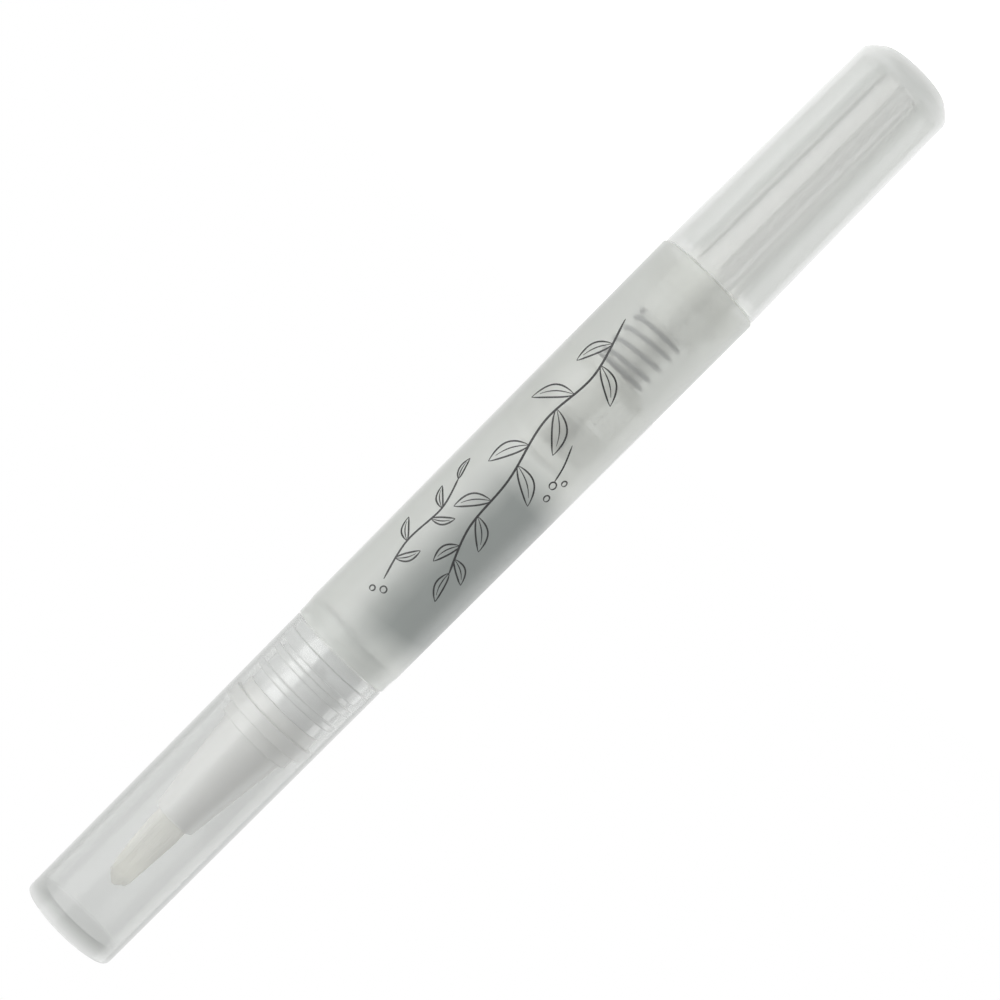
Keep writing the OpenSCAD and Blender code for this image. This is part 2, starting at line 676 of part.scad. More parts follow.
module knob() {
    r0 = knob_end_dia / 2;
    r1 = knob_mouth_dia / 2;
    flat_r = knob_flat_dia / 2;
    inner_r0 = r0 - knob_wall;
    inner_r1 = r1 - knob_wall;
    rib_r = key_r + fit_gap;
    rib_len = knob_len - knob_chamfer_len - knob_floor;
    color(clear) union() {
        turned(concat(
            [[0, 0]],
            rounded([0, 0], [flat_r, 0], [r0, knob_chamfer_len], 3 * soft),
            rounded([flat_r, 0], [r0, knob_chamfer_len], [r1, knob_len], 3 * soft),
            rounded([r0, knob_chamfer_len], [r1, knob_len], [inner_r1, knob_len], soft),
            [[inner_r1, knob_len]],
            rounded([inner_r1, knob_len], [inner_r0, knob_floor], [0, knob_floor], soft),
            [[0, knob_floor]]));
        for (i = [0 : knob_ribs - 1])
            rotate([0, 0, 360 * i / knob_ribs])
                translate([rib_r, -rib_t / 2, knob_floor - over])
                    cube([inner_r0 - rib_r + knob_wall / 2, rib_t, rib_len + over]);
    }
}

cap();
brush_tuft();
feed_tube();
ferrule();
neck();
barrel();
piston();
spindle();
thread_nut();
ratchet_ring();
click_spring();
driver_tube();
end_collar();
knob();
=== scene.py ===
import math
import random

import bmesh
import bpy
from mathutils import Matrix, Vector


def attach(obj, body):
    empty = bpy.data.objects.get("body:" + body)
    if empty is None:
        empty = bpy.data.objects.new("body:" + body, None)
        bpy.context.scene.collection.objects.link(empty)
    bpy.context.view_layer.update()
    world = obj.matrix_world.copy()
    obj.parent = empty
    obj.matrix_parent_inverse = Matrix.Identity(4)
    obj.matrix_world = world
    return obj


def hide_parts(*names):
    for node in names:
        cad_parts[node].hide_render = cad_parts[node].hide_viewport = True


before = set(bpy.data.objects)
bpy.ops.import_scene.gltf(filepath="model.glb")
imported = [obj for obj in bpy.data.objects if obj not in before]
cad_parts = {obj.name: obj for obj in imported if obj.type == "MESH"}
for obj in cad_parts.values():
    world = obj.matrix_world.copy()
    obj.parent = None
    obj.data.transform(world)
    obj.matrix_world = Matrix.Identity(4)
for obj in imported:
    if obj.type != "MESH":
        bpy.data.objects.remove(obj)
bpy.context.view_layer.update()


# Barrel: the frosted polypropylene tube that holds the oil and everything else. It is injection
# moulded with a finely etched surface, and its chamber wall is smoother where the oil lies on it.
# There, on the half away from the key light, its colour turns dark grey: painted shade.

def new_material(name):
    """An empty node material, with its node tree and its output."""
    material = bpy.data.materials.new(name)
    material.use_nodes = True
    tree = material.node_tree
    tree.nodes.clear()
    return material, tree, tree.nodes.new("ShaderNodeOutputMaterial")


def node(tree, kind, **values):
    """A node with its properties, and its sockets by name where a value's name isn't a property."""
    made = tree.nodes.new(kind)
    for key, value in values.items():
        if hasattr(made, key):
            setattr(made, key, value)
        else:
            made.inputs[key.replace("_", " ")].default_value = value
    return made


def maths(tree, operation, first, second=None, third=None, clamp=False):
    """A Math node. Each of its inputs is a number or the socket that feeds it."""
    made = node(tree, "ShaderNodeMath", operation=operation, use_clamp=clamp)
    for slot, value in enumerate((first, second, third)):
        if isinstance(value, (int, float)):
            made.inputs[slot].default_value = value
        elif value is not None:
            tree.links.new(value, made.inputs[slot])
    return made.outputs[0]


def shader_group(name, inputs, outputs):
    """A node group with named sockets: the group, its input node and its output node."""
    group = bpy.data.node_groups.new(name, "ShaderNodeTree")
    for label, kind, value in inputs:
        socket = group.interface.new_socket(label, in_out="INPUT", socket_type=kind)
        socket.default_value = value
    for label, kind in outputs:
        group.interface.new_socket(label, in_out="OUTPUT", socket_type=kind)
    return group, group.nodes.new("NodeGroupInput"), group.nodes.new("NodeGroupOutput")


def place_group(tree, group, **values):
    """The group as a node in a material, with its own values."""
    made = tree.nodes.new("ShaderNodeGroup")
    made.node_tree = group
    for key, value in values.items():
        made.inputs[key.replace("_", " ")].default_value = value
    return made


def moulded_skin_group():
    """The fine grain, the long flow marks and the handling marks of a moulded plastic surface."""
    group, taken, given = shader_group(
        "moulded_skin",
        [("Grain Size", "NodeSocketFloat", 6000.0), ("Roughness", "NodeSocketFloat", 0.3),
         ("Spread", "NodeSocketFloat", 0.06), ("Flow", "NodeSocketFloat", 0.3),
         ("Pale", "NodeSocketColor", (0.85, 0.88, 0.87, 1)),
         ("Deep", "NodeSocketColor", (0.8, 0.83, 0.82, 1))],
        [("Color", "NodeSocketColor"), ("Roughness", "NodeSocketFloat"), ("Height", "NodeSocketFloat")])
    link = group.links.new
    place = node(group, "ShaderNodeTexCoord")
    grain = node(group, "ShaderNodeTexNoise", Detail=3.0, Roughness=0.6)
    link(place.outputs["Object"], grain.inputs["Vector"])
    link(taken.outputs["Grain Size"], grain.inputs["Scale"])
    stretch = node(group, "ShaderNodeMapping")
    stretch.inputs["Scale"].default_value = (900.0, 900.0, 45.0)
    streaks = node(group, "ShaderNodeTexNoise", Scale=1.0, Detail=2.0)
    link(place.outputs["Object"], stretch.inputs["Vector"])
    link(stretch.outputs["Vector"], streaks.inputs["Vector"])
    clouds = node(group, "ShaderNodeTexNoise", Scale=180.0, Detail=2.0)
    link(place.outputs["Object"], clouds.inputs["Vector"])
    cloudy = maths(group, "MULTIPLY", clouds.outputs["Fac"], 0.5)
    wander = maths(group, "MULTIPLY_ADD", streaks.outputs["Fac"], 0.5, cloudy)
    tone = node(group, "ShaderNodeMix", data_type="RGBA")
    link(wander, tone.inputs["Factor"])
    link(taken.outputs["Pale"], tone.inputs["A"])
    link(taken.outputs["Deep"], tone.inputs["B"])
    link(tone.outputs["Result"], given.inputs["Color"])
    rough = maths(group, "MULTIPLY_ADD", maths(group, "SUBTRACT", wander, 0.5), taken.outputs["Spread"],
                  taken.outputs["Roughness"])
    link(rough, given.inputs["Roughness"])
    height = maths(group, "MULTIPLY_ADD", streaks.outputs["Fac"], taken.outputs["Flow"],
                   grain.outputs["Fac"])
    link(height, given.inputs["Height"])
    return group


moulded_skin = moulded_skin_group()


def plastic(name, pale, deep, roughness, clear=0.0, grain=4000.0, spread=0.06, flow=0.3, bump=0.004,
            lamps=(1, 1, 1), scatter=0.0, ior=1.49, gloss=0.0, gloss_blur=0.1, oil_shade=None, haze=0.0,
            back=True, bare=False):
    """Moulded plastic whose colour wanders from pale to deep. Grain, spread, flow and bump are the
    fineness, unevenness, flow marks and depth of its skin. Clear is the share of light that passes
    straight through, lamps tints what the lamps send in, scatter is light that spreads inside, and
    gloss is how much of a polished skin it has. The oil group's mask smooths it where oil lies and
    paints it dark grey there as painted shade, and haze is how much light each metre of the plastic
    takes. Back says that the inner faces of a clear wall let light straight through, so that only its
    outer faces bend it. Bare says that light which a piece has thrown back leaves through the wall as
    the lamps' light comes in."""
    relief_depth, light_spread = 0.00005, 0.0006
    # The oil's dark grey is painted shade, put on the chamber wall's half away from the key light.
    oil_shade_colour, oil_smooths = (0.305, 0.325, 0.32, 1), 0.12
    material, tree, out = new_material(name)
    link = tree.links.new
    skin = place_group(tree, moulded_skin, Grain_Size=grain, Roughness=roughness, Spread=spread,
                       Flow=flow, Pale=(*pale, 1), Deep=(*deep, 1))
    relief = node(tree, "ShaderNodeBump", Strength=bump, Distance=relief_depth)
    link(skin.outputs["Height"], relief.inputs["Height"])
    shell = node(tree, "ShaderNodeBsdfPrincipled", IOR=ior)
    shell.inputs["Transmission Weight"].default_value = clear
    shell.inputs["Subsurface Weight"].default_value = scatter
    shell.inputs["Subsurface Radius"].default_value = (1.0, 1.0, 1.0)
    shell.inputs["Subsurface Scale"].default_value = light_spread
    shell.inputs["Coat Weight"].default_value = gloss
    shell.inputs["Coat Roughness"].default_value = gloss_blur
    colour, rough = skin.outputs["Color"], skin.outputs["Roughness"]
    # Where the oil lies, the colour turns to that painted shade and the skin gets smoother.
    if oil_shade:
        oil_shade_node = place_group(tree, oil_shade)
        oil_shade_mix = node(tree, "ShaderNodeMix", data_type="RGBA")
        link(oil_shade_node.outputs["Mask"], oil_shade_mix.inputs["Factor"])
        link(colour, oil_shade_mix.inputs["A"])
        oil_shade_mix.inputs["B"].default_value = oil_shade_colour
        colour = oil_shade_mix.outputs["Result"]
        rough = maths(tree, "MULTIPLY_ADD", oil_shade_node.outputs["Mask"], -oil_smooths, rough)
    link(colour, shell.inputs["Base Color"])
    link(rough, shell.inputs["Roughness"])
    link(relief.outputs["Normal"], shell.inputs["Normal"])
    if clear:
        ray = node(tree, "ShaderNodeLightPath")
        gap = node(tree, "ShaderNodeBsdfTransparent", Color=(*lamps, 1))
        side = node(tree, "ShaderNodeNewGeometry")
        pick = node(tree, "ShaderNodeMixShader")
        passing = ray.outputs["Is Shadow Ray"]
        if bare:
            bounced = maths(tree, "ADD", ray.outputs["Glossy Depth"], ray.outputs["Diffuse Depth"])
            passing = maths(tree, "MAXIMUM", passing, maths(tree, "GREATER_THAN", bounced, 0.5))
        if back:
            passing = maths(tree, "MAXIMUM", passing, side.outputs["Backfacing"])
        link(passing, pick.inputs["Fac"])
        link(shell.outputs["BSDF"], pick.inputs[1])
        link(gap.outputs["BSDF"], pick.inputs[2])
        link(pick.outputs["Shader"], out.inputs["Surface"])
        if haze:
            # A half grey takes half of the density.
            inside = node(tree, "ShaderNodeVolumeAbsorption", Color=(0.50, 0.515, 0.495, 1),
                          Density=haze * 2)
            link(inside.outputs["Volume"], out.inputs["Volume"])
    else:
        link(shell.outputs["BSDF"], out.inputs["Surface"])
    return material


def finish_node(name, material, casts_shadow=True):
    """Gives a CAD node its material. A clear piece inside another lets the lamps' light pass."""
    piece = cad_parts[name]
    piece.data.materials.clear()
    piece.data.materials.append(material)
    piece.visible_shadow = casts_shadow


def oil_and_shade_group():
    """Where the oil lies on the chamber's wall, with painted shade on it: the half of the wall away from
    the key light, between the piston and the neck's plug, with an edge that creeps up a little at its
    front."""
    creep, roundness = 0.0006, 35.0
    side_blur, front_blur, rear_blur = 0.0050, 0.0042, 0.0045
    group, taken, given = shader_group(
        "oil_and_painted_shade",
        [("Rear", "NodeSocketFloat", 0.0575), ("Front", "NodeSocketFloat", 0.0850),
         ("Level", "NodeSocketFloat", 0.0035)],
        [("Mask", "NodeSocketFloat")])
    link = group.links.new
    place = node(group, "ShaderNodeTexCoord")
    parts = node(group, "ShaderNodeSeparateXYZ")
    link(place.outputs["Object"], parts.inputs["Vector"])
    ripple = node(group, "ShaderNodeTexNoise", Scale=260.0, Detail=1.0)
    link(place.outputs["Object"], ripple.inputs["Vector"])
    wobble = maths(group, "MULTIPLY_ADD", ripple.outputs["Fac"], 2 * creep, -creep)
    level = maths(group, "ADD", taken.outputs["Level"], wobble)
    below = maths(group, "SUBTRACT", level, parts.outputs["X"])
    below = maths(group, "DIVIDE", below, side_blur, clamp=True)
    bulge = maths(group, "MULTIPLY", parts.outputs["X"], parts.outputs["X"])
    bulge = maths(group, "MULTIPLY", bulge, roundness)
    front = maths(group, "SUBTRACT", maths(group, "ADD", taken.outputs["Front"], wobble), bulge)
    before = maths(group, "SUBTRACT", front, parts.outputs["Z"])
    before = maths(group, "DIVIDE", before, front_blur, clamp=True)
    after = maths(group, "SUBTRACT", parts.outputs["Z"], taken.outputs["Rear"])
    after = maths(group, "DIVIDE", after, rear_blur, clamp=True)
    link(maths(group, "MULTIPLY", below, maths(group, "MULTIPLY", before, after)), given.inputs["Mask"])
    return group


# The oil group paints the chamber wall's half away from the key light dark grey, as painted shade.
barrel_plastic = plastic("barrel_plastic", (0.78, 0.79, 0.77), (0.74, 0.75, 0.73), 0.5, clear=0.79,
                         lamps=(0.98, 0.985, 0.975), ior=1.1, gloss=1.0, gloss_blur=0.42,
                         oil_shade=oil_and_shade_group(), haze=90.0)
finish_node("barrel", barrel_plastic)


# Thread nut: the clear polypropylene insert, grooved outside, that carries the spindle's thread and
# the fixed teeth of the ratchet. It is pressed into the barrel from the rear, up to the bore's step.

clear_plastic = plastic("clear_plastic", (0.98, 0.98, 0.97), (0.96, 0.96, 0.95), 0.15, clear=0.75,
                        lamps=(0.99, 0.99, 0.99), ior=1.08, gloss=1.0, gloss_blur=0.12)
finish_node("thread_nut", clear_plastic, casts_shadow=False)


# Ratchet ring: the white acetal ring with saw teeth that clicks over the nut's teeth. It sits on the
# flats of the driver tube's nose and can slide there.

white_plastic = plastic("white_plastic", (0.93, 0.93, 0.91), (0.90, 0.90, 0.88), 0.38, scatter=0.25)
finish_node("ratchet_ring", white_plastic)


# Click spring: wound from drawn stainless wire, with a closed coil at each end. It presses the
# ratchet ring on the nut's teeth and stands on the hub of the driver tube.

MM = 0.001


def new_piece(name, points, faces, body, material, smooth=True):
    """A mesh object from points in millimetres, which rides on a body."""
    mesh = bpy.data.meshes.new(name)
    mesh.from_pydata([Vector(p) * MM for p in points], [], faces)
    mesh.validate()
    shape = bmesh.new()
    shape.from_mesh(mesh)
    bmesh.ops.recalc_face_normals(shape, faces=shape.faces)
    shape.to_mesh(mesh)
    shape.free()
    mesh.polygons.foreach_set("use_smooth", [smooth] * len(mesh.polygons))
    mesh.materials.append(material)
    piece = bpy.data.objects.new(name, mesh)
    bpy.context.scene.collection.objects.link(piece)
    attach(piece, body)
    return piece


def rod_faces(rings, sides):
    """The faces of a closed rod whose points lie ring after ring."""
    faces = []
    for i in range(rings - 1):
        for k in range(sides):
            m = (k + 1) % sides
            faces.append((i * sides + k, i * sides + m, (i + 1) * sides + m, (i + 1) * sides + k))
    faces.append(tuple(reversed(range(sides))))
    faces.append(tuple(range((rings - 1) * sides, rings * sides)))
    return faces


def rod_along(path, across, radii, sides):
    """Points and faces of a round rod along a path, where across gives each ring's two directions."""
    points = []
    for centre, (u, v), radius in zip(path, across, radii):
        for k in range(sides):
            turn = 2 * math.pi * k / sides
            points.append(centre + (u * math.cos(turn) + v * math.sin(turn)) * radius)
    return points, rod_faces(len(path), sides)


def spring_steel():
    """Drawn wire: a dull grey metal with fine marks round its coils."""
    material, tree, out = new_material("spring_steel")
    link = tree.links.new
    skin = place_group(tree, moulded_skin, Grain_Size=9000.0, Roughness=0.45, Spread=0.2, Flow=0.6,
                       Pale=(0.44, 0.45, 0.46, 1), Deep=(0.26, 0.265, 0.27, 1))
    relief = node(tree, "ShaderNodeBump", Strength=0.05, Distance=0.00002)
    link(skin.outputs["Height"], relief.inputs["Height"])
    metal = node(tree, "ShaderNodeBsdfPrincipled", Metallic=1.0)
    link(skin.outputs["Color"], metal.inputs["Base Color"])
    link(skin.outputs["Roughness"], metal.inputs["Roughness"])
    link(relief.outputs["Normal"], metal.inputs["Normal"])
    link(metal.outputs["BSDF"], out.inputs["Surface"])
    return material


def wound_spring():
    """The spring at its fitted length, in millimetres. Ends is the rise of each closed coil, and the
    wire is given by its radius."""
    foot, length, ends, active, radius, wire = 38.02, 6.9, 0.86, 3.0, 2.7, 0.21
    steps, sides, inside_solid = 40, 12, 0.995
    open_pitch = (length - 2 * wire - 2 * ends) / active
    path, across = [], []
    for i in range(int(steps * (active + 2)) + 1):
        coils = i / steps
        in_ends = min(coils, 1) + max(0, coils - active - 1)
        turn = 2 * math.pi * coils
        outward = Vector((math.cos(turn), math.sin(turn), 0))
        rise = foot + wire + ends * in_ends + open_pitch * (coils - in_ends)
        path.append(outward * radius + Vector((0, 0, rise)))
        across.append((outward, Vector((0, 0, 1))))
    return rod_along(path, across, [wire * inside_solid] * len(path), sides)


spring = new_piece("wound_spring", *wound_spring(), "knob", spring_steel())
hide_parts("click_spring")


# Driver tube: natural polypropylene, with a bore that has two flats. The knob's ribs hold its tail,
# its flange runs against the end collar, and its nose turns the ratchet ring.

driver_plastic = plastic("driver_plastic", (0.97, 0.97, 0.96), (0.95, 0.95, 0.94), 0.4, clear=0.5,
                         lamps=(0.96, 0.96, 0.96), ior=1.12, gloss=1.0, gloss_blur=0.12, back=False)
finish_node("driver_tube", driver_plastic, casts_shadow=False)


# End collar: the clear ring with a hub and six ribs that closes the barrel's rear end. It snaps into
# a groove in the bore and carries the driver tube.

collar_plastic = plastic("collar_plastic", (0.99, 0.99, 0.98), (0.98, 0.98, 0.97), 0.12, clear=0.96,
                         lamps=(0.99, 0.99, 0.99), ior=1.05, gloss=1.0, gloss_blur=0.15)
finish_node("end_collar", collar_plastic, casts_shadow=False)


# Knob: the glossy translucent end piece that the user turns. It is moulded with eight ribs inside,
# which grip the driver tube.

knob_plastic = plastic("knob_plastic", (0.915, 0.925, 0.91), (0.89, 0.90, 0.885), 0.34, clear=0.84,
                       lamps=(0.98, 0.98, 0.98), ior=1.06, gloss=0.8, gloss_blur=0.14, haze=55.0)
finish_node("knob", knob_plastic)


# Spindle: moulded in natural polypropylene with a right-hand thread of 1.3 mm pitch between its two
# flats. The flats turn it with the driver tube, and the bead at its front snaps into the piston.

def threaded_spindle():
    """The threaded rod with two flats, its bead and its slimmer neck, in millimetres."""
    half, crest, root, pitch = 1.2, 1.695, 1.38, 1.3
    around, per_turn = 56, 8
    tail, rod_end, bead_start, bead_end = 4.9, 51.64, 54.74, 55.64
    neck_r, bead_r, flank, flat_crest = 1.05, 1.45, 3.2, 1.5
    rings = [(tail, 0.9, 0.9), (tail + 0.3, half, half)]
    z = tail + 0.45
    while z < rod_end - 0.05:
        rings.append((z, crest, root))
        z += pitch / per_turn
    rings += [(rod_end, 1.3, 1.3), (rod_end + 0.01, neck_r, neck_r), (bead_start - 0.01, neck_r, neck_r),
              (bead_start, bead_r, bead_r), (bead_start + 0.3, bead_r, bead_r), (bead_end, neck_r, neck_r)]
    points = []
    for z, high, low in rings:
        for k in range(around):
            turn = 2 * math.pi * k / around
            phase = (z / pitch - k / around) % 1
            tooth = max(0.0, 1 - abs(phase - 0.5) * flank)
            r = low + (high - low) * min(1.0, tooth * flat_crest)
            if tail + 0.3 < z < rod_end and abs(math.cos(turn)) * r > half:
                r = half / abs(math.cos(turn))
            points.append(Vector((r * math.cos(turn), r * math.sin(turn), z)))
    return points, rod_faces(len(rings), around)


spindle = new_piece("threaded_spindle", *threaded_spindle(), "spindle", driver_plastic)
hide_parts("spindle")


# Piston: natural polypropylene, with two thin lips that wipe the chamber's wall. The spindle's bead
# turns in the boss inside it.

natural_plastic = plastic("natural_plastic", (0.98, 0.98, 0.97), (0.96, 0.96, 0.95), 0.4, clear=0.86,
                          lamps=(0.98, 0.98, 0.98), ior=1.15, gloss=1.0, gloss_blur=0.15)
finish_node("piston", natural_plastic)


# Neck: the natural polypropylene insert that snaps into the barrel's front. It funnels the oil into
# the feed tube, and the cap slides over its wide collar and its two rings.

neck_plastic = plastic("neck_plastic", (0.96, 0.97, 0.965), (0.93, 0.94, 0.935), 0.12, clear=0.3,
                       lamps=(0.98, 0.98, 0.98), ior=1.4, gloss=1.0, gloss_blur=0.08, bare=True)


def rounded_loop(corners, steps=6):
    """A closed profile from (radius, height, rounding) corners, in millimetres. A short step on each
    side of a rounding keeps the long faces flat in the light."""
    most_of_side, nearly_straight, flat_step = 0.46, 1.54, 1.08
    loop = []
    for i, (r, z, rounding) in enumerate(corners):
        corner = Vector((r, z))
        before = Vector(corners[i - 1][:2]) - corner
        after = Vector(corners[(i + 1) % len(corners)][:2]) - corner
        reach = most_of_side * min(before.length, after.length)
        before.normalize()
        after.normalize()
        half = before.angle(after) / 2
        if rounding <= 0 or half > nearly_straight:
            loop.append(corner)
            continue
        cut = min(rounding / math.tan(half), reach)
        centre = corner + (before + after).normalized() * cut / math.cos(half)
        start, end = corner + before * cut - centre, corner + after * cut - centre
        loop.append(corner + before * cut * flat_step)
        for k in range(steps + 1):
            share = k / steps
            loop.append(centre + (start * (1 - share) + end * share).normalized() * start.length)
        loop.append(corner + after * cut * flat_step)
    return loop


def turned(loop, around=128):
    """Points and faces of a closed profile turned round the axis."""
    points, faces = [], []
    for i, (r, z) in enumerate(loop):
        j = (i + 1) % len(loop)
        for k in range(around):
            turn = 2 * math.pi * k / around
            m = (k + 1) % around
            points.append(Vector((r * math.cos(turn), r * math.sin(turn), z)))
            faces.append((i * around + k, i * around + m, j * around + m, j * around + k))
    return points, faces


neck_profile = [
    (5.33, 84.1, 0.1), (5.33, 84.6, 0.1), (5.43, 84.8, 0.05), (5.43, 85.0, 0.05), (5.33, 85.2, 0.1),
    (5.33, 85.92, 0.02), (5.73, 85.92, 0.04), (5.73, 86.5, 0.04), (4.8, 86.5, 0.05), (4.8, 88.05, 0.1),
    (5.15, 88.05, 0.2), (5.15, 89.55, 0.2), (4.4, 89.55, 0.15), (4.4, 90.25, 0.15), (5.0, 90.25, 0.22),
    (5.0, 91.1, 0.22), (4.4, 91.1, 0.15), (4.4, 92.6, 0.15), (5.0, 92.6, 0.22), (5.0, 93.45, 0.22),
    (4.4, 93.45, 0.15), (4.4, 94.95, 0.12), (3.45, 94.95, 0.05), (3.45, 89.55, 0.05), (0.62, 89.55, 0.0),
    (0.62, 88.75, 0.0), (1.2, 88.75, 0.2), (4.43, 84.3, 0.0), (4.43, 84.1, 0.05)]
neck_shape = new_piece("turned_neck", *turned(rounded_loop(neck_profile)), "barrel", neck_plastic)
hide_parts("neck")


# Ferrule: the opaque white brush holder, a hollow cone with a flange. Its plug is pressed into the
# neck's socket.

finish_node("ferrule", white_plastic)


# Feed tube: a thin tube of clear polypropylene, held in the neck's web. It leads the oil through the
# ferrule to the middle of the bristles.

finish_node("feed_tube", clear_plastic)


# Brush: cream nylon bristles, tapered and set round the feed tube in a glued slice. The free ends
# make a slightly bent point.

def brush_tuft():
    """The glued slice and the free bristles, in millimetres."""
    rng = random.Random(41)
    hole, foot_r, belly_r, tip_r = 0.62, 1.75, 1.86, 1.12
    slice_z0, slice_z1, belly_z, tip_z, dome = 105.17, 110.85, 112.97, 121.05, 0.9
    points, faces = [], []

    def add(more_points, more_faces):
        base = len(points)
        points.extend(more_points)
        faces.extend(tuple(base + i for i in face) for face in more_faces)

    glued_slice = [(hole, slice_z0), (foot_r, slice_z0), (foot_r, slice_z1), (hole, slice_z1)]
    add(*turned(glued_slice, around=48))

    rows, sides, steps = 13, 5, 7
    spacing, bristle_r, taper, taper_start = 0.105, 0.058, 0.72, 0.45
    tip_lean = Vector((-0.20, 0.03, 0))
    for row in range(rows):
        share = row / (rows - 1)
        r0 = hole + 0.07 + (foot_r - 0.08 - hole - 0.07) * share
        count = int(2 * math.pi * r0 / spacing)
        for k in range(count):
            turn = 2 * math.pi * (k + 0.5 * (row % 2) + rng.uniform(-0.2, 0.2)) / count
            out = Vector((math.cos(turn), math.sin(turn), 0))
            thick = bristle_r * rng.uniform(0.85, 1.1)
            length = tip_z - dome * share * share - rng.uniform(0.0, 0.45) - rng.random() ** 6 * 1.5
            belly = (hole + (belly_r - hole) * (r0 - hole) / (foot_r - hole)) - 0.06
            tip = max(0.05, tip_r * share - 0.05) * rng.uniform(0.82, 1.02)
            stray = Vector((rng.gauss(0, 0.05), rng.gauss(0, 0.05), 0))
            path = []
            for i in range(steps + 1):
                t = i / steps
                z = slice_z1 - 0.2 + (length - slice_z1 + 0.2) * t
                if z < belly_z:
                    r = r0 + (belly - r0) * max(0.0, (z - slice_z1) / (belly_z - slice_z1))
                else:
                    s = (z - belly_z) / (tip_z - belly_z)
                    r = belly + (tip - belly) * s ** 1.15
                lean = tip_lean * max(0.0, (z - slice_z1) / (tip_z - slice_z1)) ** 2
                path.append(out * r + lean + stray * t * t + Vector((0, 0, z)))
            across, radii = [], []
            for i in range(steps + 1):
                ahead = (path[min(i + 1, steps)] - path[max(i - 1, 0)]).normalized()
                side = ahead.cross(out).normalized()
                across.append((side, side.cross(ahead)))
                radii.append(thick * (1 - taper * max(0.0, i / steps - taper_start) / (1 - taper_start)))
            add(*rod_along(path, across, radii, sides))
    return points, faces


bristle_nylon = plastic("bristle_nylon", (0.99, 0.985, 0.95), (0.97, 0.965, 0.925), 0.4, clear=0.1,
                        grain=9000.0, spread=0.2, bump=0.02, lamps=(0.95, 0.945, 0.92), ior=1.15,
                        back=False)
brush = new_piece("brush_bristles", *brush_tuft(), "barrel", bristle_nylon)
brush.visible_shadow = False  # or the fine bristles shade each other to grey
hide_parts("brush_tuft")


# Cap: frosted polypropylene, closed at its end and thinner than the barrel. Its wider mouth slides
# over the neck's collar and rings.

cap_plastic = plastic("cap_plastic", (0.795, 0.805, 0.795), (0.755, 0.765, 0.755), 0.14, clear=0.85,
                      lamps=(0.98, 0.98, 0.98), ior=1.1, gloss=0.5, gloss_blur=0.22, haze=80.0,
                      bare=True)
finish_node("cap", cap_plastic)


# Print: a line drawing of leafy sprigs in black pad-printing ink on the barrel's front side. The ink
# is a film of a few hundredths of a millimetre.

def barrel_radius(z):
    """The barrel's outer radius at a height, both in millimetres."""
    rear_r, front_r, rear_z, front_z = 6.5, 6.25, 31.3, 84.3
    return rear_r + (front_r - rear_r) * (z - rear_z) / (front_z - rear_z)


def ink_line(points, faces, line, width):
    """Adds a closed ribbon that follows the barrel. The line's points are (height, distance round the
    barrel from its front line towards +X)."""
    underside, topside = 0.004, 0.022
    base = len(points)
    count = len(line)
    for i, (z, s) in enumerate(line):
        z0, s0 = line[max(i - 1, 0)]
        z1, s1 = line[min(i + 1, count - 1)]
        along = Vector((z1 - z0, s1 - s0)).normalized()
        w = width / 2 * min(1.0, 0.35 + 0.65 * min(i, count - 1 - i) / 3)
        for side in (-1, 1):
            for lift in (underside, topside):
                zz, ss = z - along.y * w * side, s + along.x * w * side
                turn = -math.pi / 2 + ss / barrel_radius(zz)
                r = barrel_radius(zz) + lift
                points.append(Vector((r * math.cos(turn), r * math.sin(turn), zz)))
    for i in range(count - 1):
        a, b = base + 4 * i, base + 4 * (i + 1)
        faces.extend([(a, a + 2, b + 2, b), (a + 1, b + 1, b + 3, a + 3),
                      (a, b, b + 1, a + 1), (a + 2, a + 3, b + 3, b + 2)])
    last = base + 4 * (count - 1)
    faces.extend([(base, base + 1, base + 3, base + 2), (last, last + 2, last + 3, last + 1)])


def curve_points(corners, steps):
    """A smooth line through the corners."""
    out = []
    for i in range(len(corners) - 1):
        p0, p1 = corners[max(i - 1, 0)], corners[i]
        p2, p3 = corners[i + 1], corners[min(i + 2, len(corners) - 1)]
        for k in range(steps):
            t = k / steps
            out.append(tuple(0.5 * (2 * b + (c - a) * t + (2 * a - 5 * b + 4 * c - d) * t * t
                                    + (3 * b - a - 3 * c + d) * t ** 3)
                             for a, b, c, d in zip(p0, p1, p2, p3)))
    out.append(tuple(corners[-1]))
    return out


